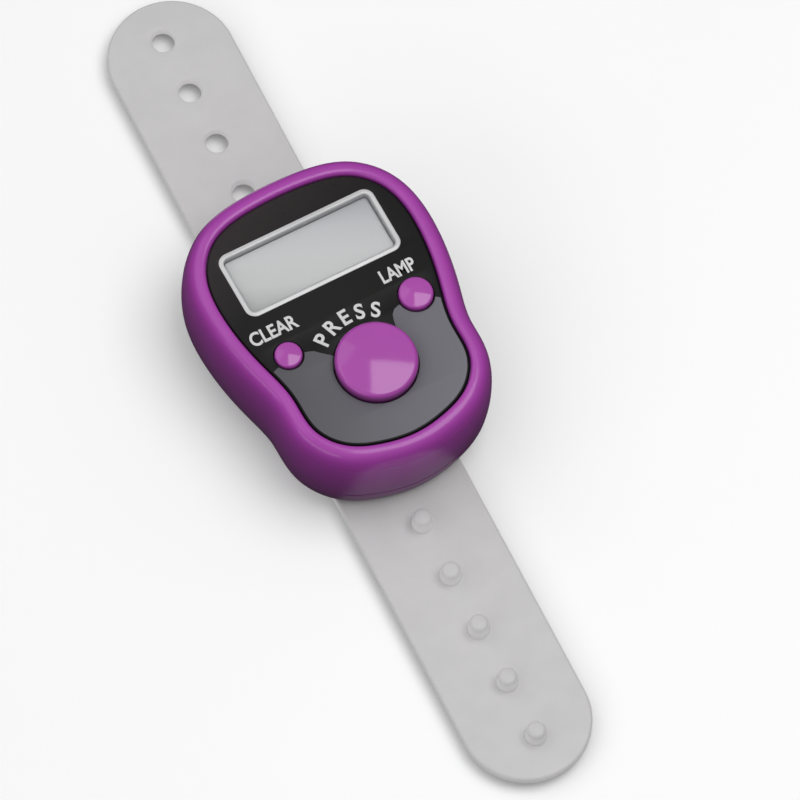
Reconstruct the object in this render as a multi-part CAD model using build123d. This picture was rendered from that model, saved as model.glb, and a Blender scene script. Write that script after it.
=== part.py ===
from build123d import *
import math
import os

# Finger-worn hand tally counter: a pear-shaped housing with a display and three push
# buttons, on a soft strap with pegs and holes that closes round a finger.
# Millimetres, +Z up. X is across the housing, +Y points to the display end, z = 0 is the
# underside of the two bars that hold the strap. The strap ends are at the same distance
# from the origin, so the housing sits a little towards +Y.

# ---- driving dimensions ----------------------------------------------------------------

# strap
strap_width = 15.2
strap_thickness = 1.25
upper_reach = 49.8          # housing centre to the tip of the arm with holes
lower_reach = 56.5          # housing centre to the tip of the arm with pegs
strap_lean = 2.2            # the strap lies slightly askew in its wide loops, degrees
strap_shift = -1.1          # and slightly to one side
peg_count = 5
peg_pitch = 7.15
tip_to_peg = 5.1
peg_radius = 1.15
peg_height = 2.2
hole_radius = 1.35
peg_round = 0.5             # height of the rounded top of a peg
hinge_gap = 0.1             # open joint line between two bending stretches of the strap

# bending lines, as distances from the housing centre along each arm
upper_bends = [11.0, 12.6, 14.2, 28.5, 32.3]
lower_bends = [11.8, 15.22, 18.64, 28.206, 33.206]

# levels
bar_thickness = 1.0
strap_play = 0.1
strap_bottom = bar_thickness + strap_play
strap_top = strap_bottom + strap_thickness
base_z = strap_top + strap_play
floor_thickness = 1.2
floor_z = base_z + floor_thickness
parting_z = base_z + 3.3    # where the front shell meets the rear cover
deck_z = base_z + 9.55      # underside of the deck, which carries the fascia
deck_thickness = 0.8
fascia_z = deck_z + deck_thickness
fascia_thickness = 1.0
fascia_top = fascia_z + fascia_thickness
board_z = base_z + 6.15
board_thickness = 1.0
board_top = board_z + board_thickness

# housing outline: the right half of the fascia edge, from the display end round to the
# finger end; the left half mirrors it
half_outline = [
    (0.0, 16.45), (4.4, 16.2), (8.4, 15.1), (11.3, 12.3), (12.5, 5.5), (11.3, -1.8),
    (10.3, -6.5), (10.0, -11.0), (7.6, -14.4), (4.0, -16.0), (0.0, -16.6),
]
housing_y = (lower_reach - upper_reach) / 2 * math.cos(math.radians(strap_lean))

# side wall and rolled rim: (distance outside the fascia edge, height above the base)
cover_profile = [(1.7, 0.0), (2.2, 0.6), (2.52, 1.9), (2.64, 3.25)]
shell_profile = [
    (2.65, 3.3), (2.7, 5.0), (2.62, 7.5), (2.38, 9.4), (2.12, 10.4),
    (1.7, 11.15), (1.15, 11.6), (0.5, 11.75),
]
cavity_grow = 1.2           # inside face of the housing walls, outside the fascia edge
lip_thickness = 0.55        # the rear cover's lip stands inside the front shell
lip_height = 0.6
fit_gap = 0.05
root = 0.2                  # how deep a boss or lip stands in the wall that carries it
past = 1.0                  # how far a cutting tool reaches past the face that it cuts

# display
frame_size = (20.0, 8.6)
frame_corner = 1.3
frame_line = 0.65
frame_stand = 0.1
display_y = 8.5
deck_window = (18.7, 7.3)
lens_size = (18.4, 7.0)
lens_corner = 0.4
polariser_thickness = 0.2
glass_size = (20.8, 10.0)
glass_y = 8.2
glass_z = deck_z - 1.1
glass_thickness = 1.0
glass_corner = 0.3
guide_size = (18.0, 7.6)
guide_corner = 0.5
guide_y = 8.9
reflector_thickness = 0.2
zebra_box = (-9.0, 9.0, 3.4, 4.6)
backlight_box = (9.15, 10.15, 7.4, 9.6)
backlight_height = 0.8

# circuit board
board_grow = 0.3            # board edge, outside the fascia edge
chip_size = 8.0
chip_y = -9.4
chip_height = 1.0
chip_radius = 4.6
resistor_size = (1.6, 0.8, 0.5)
resistor_spots = [(6.0, -7.0), (6.0, -8.6), (-6.0, -7.0)]
capacitor_size = (2.0, 1.2, 1.0)
capacitor_spots = [(-6.0, -9.0), (4.6, 12.2)]

# buttons: centre, cap radius, height above the fascia, flange radius, travel
count_button = ((0.2, -6.95), 4.8, 1.7, 5.6, 0.8)
reset_button = ((-8.22, -1.63), 1.6, 0.5, 2.2, 0.4)
led_button = ((8.22, -1.63), 2.0, 0.8, 2.6, 0.4)
button_play = 0.12
cap_shoulder = 0.3          # height of a cap's rounded edge, as a share of its stand
cap_crown = 0.15            # rise of a cap's middle, as a share of its stand
cap_bore = 0.82             # inside radius of a hollow cap, as a share of its radius
cap_stem = 0.4              # radius of the stem under a cap, as a share of its radius
cap_roof = 0.9              # from the underside of the deck to the inside of a cap's top
flange_thickness = 0.8
dome_height = 0.45
dome_sheet = 0.1
count_dome_radius = 3.2
small_dome_radius = 1.8

# power
cell_radius = 5.8
cell_height = 3.1
cell_offset = 5.95
cell_y = 0.6
bridge_thickness = 0.2
cell_z = floor_z + bridge_thickness
cell_play = 0.15
cell_rim = 0.25             # height and width of the step round a cell's smaller face
cell_rim_width = 0.7
cup_wall = 0.7              # ring in the rear cover that stands round each cell
cup_height = 2.6
channel_width = 5.0         # way between the two cups for the bridge
bridge_half_length = 8.0
bridge_width = 3.2
leaf_thickness = 0.15
leaf_width = 2.6
door_radius = 6.3
door_ear = (4.0, 0.6, 1.2, -6.4)        # width, thickness, corner radius, y
door_hook = (5.0, 1.4, 0.6)             # x, half width, thickness
hook_y = (5.0, 7.8)
hook_slot_y = (6.0, 8.0)
hook_play = 0.2
grip_count = 5
grip_pitch = 0.8
grip_half_length = 4.5
grip_width = 0.36
grip_depth = 0.15

# strap loops
loop_y = 9.6
loop_width = 2.0
slot_half_width = 9.3
post_width = 1.9
bar_edge_radius = 0.35

# fasteners: (head radius, head height, shank radius, length below the head)
case_screw = (1.4, 0.85, 0.8, 4.8)
board_screw = (0.95, 0.5, 0.5, 2.3)
door_screw = (1.2, 0.28, 0.6, 3.2)
slot_width = 0.24
slot_depth = 0.2
slot_share = 0.8            # length of the driver slot as a share of the head
case_boss_radius = 1.6
case_pilot_radius = 0.82
case_pilot_depth = 2.85
case_seat_radius = 2.0
case_seat_gap = 0.55        # top of the seat, below the parting line
case_clearance_radius = 0.95
case_counterbore = (1.5, 1.0)
case_screw_sink = 0.15
board_boss_radius = 1.1
board_pilot_radius = 0.52
board_pilot_roof = 0.4
board_clearance_radius = 0.55
board_post_clearance = 1.85
door_boss_radius = 1.7
door_boss_height = 2.9
door_pilot_radius = 0.62
door_pilot_depth = 2.5
door_clearance_radius = 0.7
door_counterbore = (1.3, 0.3)
door_screw_sink = 0.02
case_posts = [(5.5, 15.1), (-5.5, 15.1), (6.3, -12.7), (-6.3, -12.7)]
board_posts = [(11.0, 2.0), (-11.0, 2.0), (0.0, -14.2)]
door_screw_y = -7.1

os.makedirs("parts", exist_ok=True)


# ---- helpers ---------------------------------------------------------------------------

mirrored_half = [(-x, y) for x, y in reversed(half_outline[1:-1])]
outline_points = half_outline + mirrored_half
outline_curve = Spline(*outline_points, periodic=True)


def grown_point(point, grow):
    tangent = outline_curve.tangent_at(outline_curve.param_at_point(Vector(*point)))
    outward = Vector(-tangent.Y, tangent.X)
    if outward.dot(Vector(*point)) < 0:
        outward = outward * -1
    return Vector(*point) + outward * grow


def outline_face(grow, z):
    points = [grown_point(point, grow) for point in outline_points]
    return Location((0, 0, z)) * make_face(Spline(*points, periodic=True))


def outline_slab(grow, z_low, z_high):
    return extrude(outline_face(grow, z_low), z_high - z_low, dir=(0, 0, 1))


def profile_loft(profile):
    return loft([outline_face(grow, base_z + height) for grow, height in profile])


def disc(x, y, z_low, z_high, radius):
    height = z_high - z_low
    return Location((x, y, z_low + height / 2)) * Cylinder(radius, height)


def block(x_low, x_high, y_low, y_high, z_low, z_high):
    size = (x_high - x_low, y_high - y_low, z_high - z_low)
    middle = ((x_low + x_high) / 2, (y_low + y_high) / 2, (z_low + z_high) / 2)
    return Location(middle) * Box(*size)


def rounded_slab(width, length, corner, x, y, z_low, z_high):
    face = Location((x, y, z_low)) * RectangleRounded(width, length, corner)
    return extrude(face, z_high - z_low, dir=(0, 0, 1))


def write(shape, name, frame=Location()):
    place = Location((0, housing_y, 0)) * frame
    solids = [place * solid for solid in shape.solids()]
    placed = solids[0] if len(solids) == 1 else Compound(children=solids)
    placed.label = name
    export_step(placed, "parts/" + name + ".step")


def write_strap(shape, name):
    write(shape, name, Location((strap_shift, 0, 0), (0, 0, -strap_lean)))


def turned(profile_points, x, y):
    face = make_face(Plane.XZ * Polyline(*profile_points, close=True))
    return Location((x, y, 0)) * revolve(face, Axis.Z)


# ---- housing ---------------------------------------------------------------------------

def make_front_shell():
    shell = profile_loft(shell_profile)
    shell -= outline_slab(cavity_grow, parting_z - past, deck_z)
    shell -= outline_slab(fit_gap, fascia_z, fascia_top + 2 * past)
    half_x = deck_window[0] / 2
    half_y = deck_window[1] / 2
    window_y = (display_y - half_y, display_y + half_y)
    shell -= block(-half_x, half_x, *window_y, deck_z - past, fascia_z + past)
    for (x, y), radius, _, _, _ in (count_button, reset_button, led_button):
        shell -= disc(x, y, deck_z - past, fascia_z + past, radius + button_play)
    for x, y in case_posts:
        shell += disc(x, y, parting_z - case_seat_gap + fit_gap, deck_z, case_boss_radius)
        shell -= disc(x, y, parting_z - past, parting_z + case_pilot_depth, case_pilot_radius)
    for x, y in board_posts:
        shell += disc(x, y, board_top, deck_z, board_boss_radius)
        shell -= disc(x, y, board_top - past, deck_z - board_pilot_roof, board_pilot_radius)
    return shell


def make_fascia():
    panel = outline_slab(-fit_gap, fascia_z, fascia_top)
    window = (frame_size[0] + 2 * fit_gap, frame_size[1] + 2 * fit_gap)
    panel -= rounded_slab(*window, frame_corner + fit_gap, 0, display_y, fascia_z - past,
                          fascia_top + past)
    for (x, y), radius, _, _, _ in (count_button, reset_button, led_button):
        panel -= disc(x, y, fascia_z - past, fascia_top + past, radius + button_play)
    return panel


def make_display_frame():
    top = fascia_top + frame_stand
    inner = (frame_size[0] - 2 * frame_line, frame_size[1] - 2 * frame_line)
    ring = rounded_slab(*frame_size, frame_corner, 0, display_y, fascia_z, top)
    ring -= rounded_slab(*inner, frame_corner - frame_line, 0, display_y, fascia_z - past,
                         top + past)
    return ring


def make_rear_cover():
    cover = profile_loft(cover_profile)
    cover -= outline_slab(cavity_grow, floor_z, parting_z + past)
    lip = outline_slab(cavity_grow - fit_gap, floor_z - root, parting_z + lip_height)
    lip -= outline_slab(cavity_grow - fit_gap - lip_thickness, floor_z - past, parting_z + past)
    cover += lip
    cup_radius = cell_radius + cell_play
    cup_cut = (floor_z - root / 2, floor_z + cup_height + past)
    for side in (-1, 1):
        cup = disc(side * cell_offset, cell_y, floor_z - root, floor_z + cup_height, cup_radius + cup_wall)
        cover += cup
    for side in (-1, 1):
        cover -= disc(side * cell_offset, cell_y, *cup_cut, cup_radius)
    channel = channel_width / 2
    cover -= block(-cell_offset, cell_offset, cell_y - channel, cell_y + channel, *cup_cut)
    cover += disc(0, door_screw_y, base_z + door_ear[1], floor_z + door_boss_height, door_boss_radius)
    cover -= door_plate(fit_gap)
    cover -= disc(0, door_screw_y, base_z - past, floor_z + door_pilot_depth, door_pilot_radius)
    hook_x, hook_half, hook_thickness = door_hook
    slot_half = hook_half + hook_play
    for side in (-1, 1):
        cover -= block(side * hook_x - slot_half, side * hook_x + slot_half, *hook_slot_y,
                       floor_z, floor_z + hook_thickness + fit_gap)
    seat_z = parting_z - case_seat_gap
    for x, y in case_posts:
        cover += disc(x, y, floor_z - root, seat_z, case_seat_radius)
        cover -= disc(x, y, seat_z, parting_z + 2 * past, case_boss_radius + cell_play)
        cover -= disc(x, y, base_z - past, base_z + case_counterbore[1], case_counterbore[0])
        cover -= disc(x, y, base_z, parting_z, case_clearance_radius)
    for end in (-1, 1):
        y_low = end * loop_y - loop_width / 2
        y_high = end * loop_y + loop_width / 2
        outer = slot_half_width + post_width
        bar = block(-outer, outer, y_low, y_high, 0, bar_thickness)
        cover += fillet(bar.edges().filter_by(Axis.X).group_by(Axis.Z)[0], bar_edge_radius)
        for side in (-1, 1):
            x_low = min(side * slot_half_width, side * outer)
            cover += block(x_low, x_low + post_width, y_low, y_high, bar_thickness - root, base_z + root)
    return cover


def door_plate(grow):
    plate = None
    for side in (-1, 1):
        lobe = disc(side * cell_offset, cell_y, base_z, floor_z, door_radius + grow)
        plate = lobe if plate is None else plate + lobe
    reach = door_radius + grow
    plate += block(-cell_offset, cell_offset, cell_y - reach, cell_y + reach, base_z, floor_z)
    width, thickness, corner, y = door_ear
    side = width + 2 * grow
    ear = rounded_slab(side, side, corner, 0, y, base_z, base_z + thickness + grow)
    return plate + ear


def make_battery_door():
    door = door_plate(-fit_gap)
    hook_x, hook_half, hook_thickness = door_hook
    for side in (-1, 1):
        door += block(side * hook_x - hook_half, side * hook_x + hook_half, *hook_y,
                      floor_z, floor_z + hook_thickness)
        door -= disc(side * cell_offset, cell_y, floor_z, floor_z + 2 * past, cell_radius + cell_play)
    door -= disc(0, door_screw_y, base_z - past, base_z + 2 * past, door_clearance_radius)
    door -= disc(0, door_screw_y, base_z - past, base_z + door_counterbore[1], door_counterbore[0])
    for step in range(grip_count):
        y = cell_y + (step - (grip_count - 1) / 2) * grip_pitch
        door -= block(-grip_half_length, grip_half_length, y - grip_width / 2, y + grip_width / 2,
                      base_z - past, base_z + grip_depth)
    return door


def screw(x, y, z_low, sizes):
    head_radius, head_height, shank_radius, length = sizes
    wide = slot_share * head_radius
    thin = slot_width / 2
    head = disc(x, y, z_low, z_low + head_height, head_radius)
    head -= block(x - thin, x + thin, y - wide, y + wide, z_low - past, z_low + slot_depth)
    head -= block(x - wide, x + wide, y - thin, y + thin, z_low - past, z_low + slot_depth)
    return head + disc(x, y, z_low + head_height - fit_gap, z_low + head_height + length, shank_radius)


def make_case_screws():
    return Compound(children=[
        screw(x, y, base_z + case_screw_sink, case_screw).solid() for x, y in case_posts
    ])


def make_board_screws():
    return Compound(children=[
        screw(x, y, board_z - board_screw[1], board_screw).solid() for x, y in board_posts
    ])


# ---- buttons ---------------------------------------------------------------------------

def make_cap(button):
    (x, y), radius, height, flange_radius, travel = button
    top = fascia_top + height
    flange_top = deck_z - fit_gap
    flange_bottom = flange_top - flange_thickness
    stem_bottom = board_top + dome_height + travel + fit_gap
    shoulder = cap_shoulder * height
    crown = cap_crown * height
    bore_top = deck_z + cap_roof
    cap = turned([
        (0, flange_bottom), (flange_radius, flange_bottom), (flange_radius, flange_top),
        (radius, flange_top), (radius, top - shoulder - crown),
        (radius - 0.3 * shoulder, top - 0.4 * shoulder - crown),
        (radius - shoulder, top - crown), (0.55 * radius, top - 0.3 * crown), (0, top),
    ], x, y)
    cap -= disc(x, y, flange_bottom - past, bore_top, cap_bore * radius)
    return cap + disc(x, y, stem_bottom, bore_top + fit_gap, cap_stem * radius)


def make_snap_dome(button, radius):
    (x, y), _, _, _, _ = button
    sphere_radius = (radius ** 2 + dome_height ** 2) / (2 * dome_height)
    middle = Location((x, y, board_top + dome_height - sphere_radius))
    dome = middle * Sphere(sphere_radius) - middle * Sphere(sphere_radius - dome_sheet)
    return dome & disc(x, y, board_top, board_top + past, radius)


# ---- display and electronics -----------------------------------------------------------

def make_display_lens():
    lens_z = deck_z + polariser_thickness / 2 + fit_gap
    return rounded_slab(*lens_size, lens_corner, 0, display_y, lens_z, fascia_z - fit_gap)


def make_front_polariser():
    half = polariser_thickness / 2
    return rounded_slab(*lens_size, glass_corner, 0, display_y, deck_z - half, deck_z + half)


def make_lcd_glass():
    return rounded_slab(*glass_size, glass_corner, 0, glass_y, glass_z, glass_z + glass_thickness)


def make_light_guide():
    low = board_top + reflector_thickness + 2 * fit_gap
    return rounded_slab(*guide_size, guide_corner, 0, guide_y, low, glass_z - 3 * fit_gap)


def make_reflector():
    low = board_top + fit_gap
    return rounded_slab(*guide_size, guide_corner, 0, guide_y, low, low + reflector_thickness)


def make_zebra():
    return block(*zebra_box, board_top, glass_z)


def make_backlight():
    return block(*backlight_box, board_top, board_top + backlight_height)


def make_board():
    board = outline_slab(board_grow, board_z, board_top)
    for x, y in case_posts:
        board -= disc(x, y, board_z - past, board_top + past, board_post_clearance)
    for x, y in board_posts:
        board -= disc(x, y, board_z - past, board_top + past, board_clearance_radius)
    return board


def make_chip():
    half = chip_size / 2
    blob = Location((0, chip_y, board_z + chip_radius - chip_height)) * Sphere(chip_radius)
    return blob & block(-half, half, chip_y - half, chip_y + half, board_z - 2 * chip_height, board_z)


def make_chip_parts(spots, size):
    length, width, height = size
    parts = []
    for x, y in spots:
        parts.append(block(x - length / 2, x + length / 2, y - width / 2, y + width / 2,
                           board_z - height, board_z))
    return Compound(children=parts)


# ---- power -----------------------------------------------------------------------------

def make_cells():
    cells = []
    for side in (-1, 1):
        x = side * cell_offset
        cell = disc(x, cell_y, cell_z, cell_z + cell_height, cell_radius)
        step_low = cell_z - past if side > 0 else cell_z + cell_height - cell_rim
        step_high = step_low + past + cell_rim
        step = disc(x, cell_y, step_low, step_high, cell_radius + past)
        step -= disc(x, cell_y, step_low, step_high, cell_radius - cell_rim_width)
        cells.append((cell - step).solid())
    return Compound(children=cells)


def make_bridge():
    half = bridge_width / 2
    return block(-bridge_half_length, bridge_half_length, cell_y - half, cell_y + half, floor_z, cell_z)


def ribbon(points, thickness, width, y):
    raised = [(x, z + thickness) for x, z in reversed(points)]
    face = make_face(Plane.XZ * Polyline(*points, *raised, close=True))
    return Location((0, y + width / 2, 0)) * extrude(face, width, dir=(0, -1, 0))


def make_contact(side):
    cell_top = cell_z + cell_height
    foot = board_z - leaf_thickness
    points = [
        (side * 1.8, foot), (side * 3.8, foot), (side * 6.6, cell_top + 0.02),
        (side * 8.0, cell_top + 0.02), (side * 8.8, cell_top + 0.4),
    ]
    return ribbon(points, leaf_thickness, leaf_width, cell_y)


# ---- strap -----------------------------------------------------------------------------

def strap_outline(z_low, z_high):
    straight = upper_reach + lower_reach - strap_width
    middle = (upper_reach - lower_reach) / 2
    face = Location((0, middle, z_low)) * (
        Rectangle(strap_width, straight)
        + Location((0, straight / 2)) * Circle(strap_width / 2)
        + Location((0, -straight / 2)) * Circle(strap_width / 2)
    )
    return extrude(face, z_high - z_low, dir=(0, 0, 1))


def peg_distance(reach, index):
    return reach - tip_to_peg - index * peg_pitch


def make_whole_strap():
    strap = strap_outline(strap_bottom, strap_top)
    for index in range(peg_count):
        y = peg_distance(upper_reach, index)
        strap -= disc(0, y, strap_bottom - past, strap_top + past, hole_radius)
    for index in range(peg_count):
        y = -peg_distance(lower_reach, index)
        foot = strap_top - root
        peg_top = strap_top + peg_height
        strap += turned([
            (0, foot), (peg_radius, foot), (peg_radius, peg_top - peg_round),
            (0.8 * peg_radius, peg_top - 0.3 * peg_round), (0.45 * peg_radius, peg_top), (0, peg_top),
        ], 0, y)
    return strap


def strap_stretch(whole, y_low, y_high):
    gap = hinge_gap / 2
    highest = strap_top + peg_height + past
    return whole & block(-strap_width, strap_width, y_low + gap, y_high - gap, 0, highest)


def write_strap_pieces():
    whole = make_whole_strap()
    write_strap(strap_stretch(whole, -lower_bends[0], upper_bends[0]), "strap_centre")
    upper_ends = upper_bends[1:] + [upper_reach + past]
    for number, (start, stop) in enumerate(zip(upper_bends, upper_ends), 1):
        write_strap(strap_stretch(whole, start, stop), f"hole_arm_{number}")
    lower_ends = lower_bends[1:] + [lower_reach + past]
    for number, (start, stop) in enumerate(zip(lower_bends, lower_ends), 1):
        write_strap(strap_stretch(whole, -stop, -start), f"peg_arm_{number}")


# ---- write every piece -----------------------------------------------------------------

write(make_front_shell(), "front_shell")
write(make_fascia(), "fascia_panel")
write(make_display_frame(), "display_frame")
write(make_display_lens(), "display_lens")
write(make_front_polariser(), "front_polariser")
write(make_lcd_glass(), "lcd_glass")
write(make_light_guide(), "light_guide")
write(make_reflector(), "reflector_sheet")
write(make_zebra(), "zebra_connector")
write(make_backlight(), "backlight_led")
write(make_board(), "circuit_board")
write(make_chip(), "controller_chip")
write(make_chip_parts(resistor_spots, resistor_size), "resistors")
write(make_chip_parts(capacitor_spots, capacitor_size), "capacitors")
write(make_rear_cover(), "rear_cover")
write(make_battery_door(), "battery_door")
write(screw(0, door_screw_y, base_z + door_screw_sink, door_screw), "door_screw")
write(make_case_screws(), "case_screws")
write(make_board_screws(), "board_screws")
write(make_cells(), "button_cells")
write(make_bridge(), "battery_bridge")
write(make_contact(-1), "negative_contact")
write(make_contact(1), "positive_contact")
write(make_cap(count_button), "count_button")
write(make_cap(reset_button), "reset_button")
write(make_cap(led_button), "led_button")
write(make_snap_dome(count_button, count_dome_radius), "count_dome")
write(make_snap_dome(reset_button, small_dome_radius), "reset_dome")
write(make_snap_dome(led_button, small_dome_radius), "led_dome")
write_strap_pieces()
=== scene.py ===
import math

import bmesh
import bpy
import numpy as np
from mathutils import Matrix, Vector
from mathutils.geometry import tessellate_polygon


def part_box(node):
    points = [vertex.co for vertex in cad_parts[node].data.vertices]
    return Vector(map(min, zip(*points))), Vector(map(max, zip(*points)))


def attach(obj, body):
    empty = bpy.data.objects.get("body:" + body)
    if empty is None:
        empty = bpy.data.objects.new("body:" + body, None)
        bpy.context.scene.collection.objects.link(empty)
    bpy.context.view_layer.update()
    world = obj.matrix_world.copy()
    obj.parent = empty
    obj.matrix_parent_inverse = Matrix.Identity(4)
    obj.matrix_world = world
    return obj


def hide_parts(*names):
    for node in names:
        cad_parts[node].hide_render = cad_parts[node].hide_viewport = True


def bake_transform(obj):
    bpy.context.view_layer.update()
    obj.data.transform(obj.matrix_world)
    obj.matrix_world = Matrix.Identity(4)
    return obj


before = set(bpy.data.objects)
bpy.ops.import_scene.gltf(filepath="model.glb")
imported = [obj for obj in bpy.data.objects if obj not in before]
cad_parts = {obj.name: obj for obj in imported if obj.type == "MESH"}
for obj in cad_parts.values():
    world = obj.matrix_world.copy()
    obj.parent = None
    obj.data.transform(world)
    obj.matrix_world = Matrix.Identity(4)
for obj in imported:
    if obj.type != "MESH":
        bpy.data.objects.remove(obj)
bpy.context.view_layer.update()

# Hand tally counter: housing with a rolled rim, glossy panel, display and three buttons on
# a milky silicone strap. Shapes are written in millimetres and scaled to metres.

MM = 0.001

# ---- places read from the frame ---------------------------------------------------------

COUNT_BODY_Y = -6.95               # centre of the CAD's big cap, from the housing centre
COUNT_SPOT = (0.1, -7.12)          # centres of the shown buttons, from the housing centre
RESET_SPOT = (-8.22, -1.63)
LED_SPOT = (8.22, -1.63)
DISPLAY_Y = 8.5
PANEL_RISE = 11.35                 # panel top above the foot of the rear cover
COVER_THICKNESS = 1.2
DECK_THICKNESS = 0.8


def mm_box(node):
    low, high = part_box(node)
    return [value / MM for value in low], [value / MM for value in high]


count_low, count_high = mm_box("count_button")
HOUSING_Y = (count_low[1] + count_high[1]) / 2 - COUNT_BODY_Y
PANEL_LOW = mm_box("fascia_panel")[0][2]
PANEL_TOP = mm_box("fascia_panel")[1][2]
BASE = PANEL_TOP - PANEL_RISE
COVER_FLOOR = BASE + COVER_THICKNESS
STRAP_LOW = mm_box("strap_centre")[0][2]
STRAP_TOP = mm_box("strap_centre")[1][2]
DECK = PANEL_LOW - DECK_THICKNESS

# fascia edge, right half, from the display end to the finger end
HALF_OUTLINE = [
    (0.0, 16.45), (4.4, 16.2), (8.4, 15.1), (11.3, 12.3), (12.5, 5.5), (11.3, -1.8),
    (10.3, -6.5), (10.0, -11.0), (7.6, -14.4), (4.0, -16.0), (0.0, -16.6),
]

# strap: how far it reaches, its hinge lines, the cuts between its pieces, and how far
# each bend spreads to both sides of its hinge line
LEAN = math.radians(2.2)
SHIFT = -1.1
STRAP_WIDTH = 15.2
UPPER_REACH = 49.8
LOWER_REACH = 56.5
PITCH = 7.15
TIP_TO_PEG = 5.1
HOLE_RADIUS = 1.35
PEG_RADIUS = 1.15
PEG_HEIGHT = 2.2
UPPER_BENDS = [11.0, 12.6, 14.2, 28.5, 32.3]
LOWER_BENDS = [11.8, 15.22, 18.64, 28.206, 33.206]
UPPER_CUTS = [9.0, 11.8, 13.4, 19.7, 30.4]
LOWER_CUTS = [10.0, 13.51, 16.93, 26.4, 31.4]
UPPER_SOFT = [0.8, 0.8, 0.8, 1.9, 1.9]
LOWER_SOFT = [1.7, 1.7, 1.7, 1.7, 1.7]
BEYOND_TIP = 99.0                  # stands for no cut

# button holes in the deck and the panel: centre and radius
BUTTON_HOLES = ((COUNT_SPOT, 4.92), (RESET_SPOT, 1.72), (LED_SPOT, 2.12))
SPAN_SAMPLES = 60
EDGE_POINTS = 288


# ---- mesh helpers -------------------------------------------------------------------------

def closed_spline(points, count):
    """Samples a smooth closed curve through the points, evenly along its length."""
    knots = np.array(points, float)
    number = len(knots)
    spans = np.linalg.norm(np.roll(knots, -1, 0) - knots, axis=1)
    matrix = np.zeros((number, number))
    right = np.zeros((number, 2))
    for i in range(number):
        before = spans[i - 1]
        after = spans[i]
        matrix[i, i - 1] += before
        matrix[i, i] += 2 * (before + after)
        matrix[i, (i + 1) % number] += after
        forward = (knots[(i + 1) % number] - knots[i]) / after
        backward = (knots[i] - knots[i - 1]) / before
        right[i] = 6 * (forward - backward)
    second = np.linalg.solve(matrix, right)
    dense = []
    for i in range(number):
        j = (i + 1) % number
        for t in np.linspace(0, 1, SPAN_SAMPLES, endpoint=False):
            s = 1 - t
            bend = (s ** 3 - s) * second[i] + (t ** 3 - t) * second[j]
            dense.append(s * knots[i] + t * knots[j] + bend * spans[i] ** 2 / 6)
    dense = np.array(dense + [dense[0]])
    steps = np.linalg.norm(np.diff(dense, axis=0), axis=1)
    along = np.concatenate([[0], np.cumsum(steps)])
    wanted = np.linspace(0, along[-1], count, endpoint=False)
    return np.stack([np.interp(wanted, along, dense[:, k]) for k in (0, 1)], axis=1)


def open_spline(points, count):
    """Samples a smooth open curve through the points with centripetal tangents."""
    knots = np.array(points, float)
    padded = np.vstack([2 * knots[0] - knots[1], knots, 2 * knots[-1] - knots[-2]])
    rows = []
    for i in range(1, len(padded) - 2):
        a, b, c, d = padded[i - 1], padded[i], padded[i + 1], padded[i + 2]
        for t in np.linspace(0, 1, count, endpoint=False):
            rows.append(0.5 * (2 * b + (c - a) * t + (2 * a - 5 * b + 4 * c - d) * t ** 2
                               + (3 * b - a - 3 * c + d) * t ** 3))
    rows.append(knots[-1])
    return [tuple(row) for row in rows]


def outward(loop):
    """Miter normals of a closed anticlockwise loop of points, pointing out of it."""
    ahead = np.roll(loop, -1, 0) - loop
    ahead /= np.linalg.norm(ahead, axis=1)[:, None]
    normal = np.stack([ahead[:, 1], -ahead[:, 0]], axis=1)
    before = np.roll(normal, 1, 0)
    total = normal + before
    return total / (1 + np.sum(normal * before, axis=1))[:, None]


def signed_area(loop):
    x, y = loop[:, 0], loop[:, 1]
    return 0.5 * float(np.sum(x * np.roll(y, -1) - y * np.roll(x, -1)))


def anticlockwise(loop):
    loop = np.array(loop, float)
    return loop if signed_area(loop) > 0 else loop[::-1].copy()


HALF_MIRROR = [(-x, y) for x, y in reversed(HALF_OUTLINE[1:-1])]
EDGE = anticlockwise(closed_spline(HALF_OUTLINE + HALF_MIRROR, EDGE_POINTS))
EDGE_OUT = outward(EDGE)


def grown(amount):
    return EDGE + EDGE_OUT * amount


def circle(x, y, radius, steps=64):
    turn = np.linspace(0, 2 * math.pi, steps, endpoint=False)
    return np.stack([x + radius * np.cos(turn), y + radius * np.sin(turn)], axis=1)


def rounded_rectangle(x, y, width, length, corner, steps=10):
    points = []
    for side_x, side_y, start in ((1, 1, 0), (-1, 1, 90), (-1, -1, 180), (1, -1, 270)):
        for step in range(steps + 1):
            turn = math.radians(start + 90 * step / steps)
            points.append((x + side_x * (width / 2 - corner) + corner * math.cos(turn),
                           y + side_y * (length / 2 - corner) + corner * math.sin(turn)))
    return np.array(points)


def new_piece(name, vertices, faces, material, smooth=35.0):
    """A mesh piece in metres from millimetre vertices, smooth except at sharp edges."""
    mesh = bpy.data.meshes.new(name)
    mesh.from_pydata([tuple(float(c) * MM for c in v) for v in vertices], [], faces)
    mesh.validate()
    bm = bmesh.new()
    bm.from_mesh(mesh)
    bmesh.ops.remove_doubles(bm, verts=bm.verts, dist=1e-7)
    bmesh.ops.recalc_face_normals(bm, faces=bm.faces)
    bm.to_mesh(mesh)
    bm.free()
    return finish_piece(name, mesh, material, smooth)


def finish_piece(name, mesh, material, smooth=35.0):
    mesh.polygons.foreach_set("use_smooth", [True] * len(mesh.polygons))
    mesh.set_sharp_from_angle(angle=math.radians(smooth))
    mesh.materials.append(material)
    piece = bpy.data.objects.new(name, mesh)
    bpy.context.scene.collection.objects.link(piece)
    return piece


def ring_faces(rings, per_ring, closed=True):
    faces = []
    for row in range(rings if closed else rings - 1):
        low = row * per_ring
        high = ((row + 1) % rings) * per_ring
        for i in range(per_ring):
            j = (i + 1) % per_ring
            faces.append((low + i, low + j, high + j, high + i))
    return faces


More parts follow.
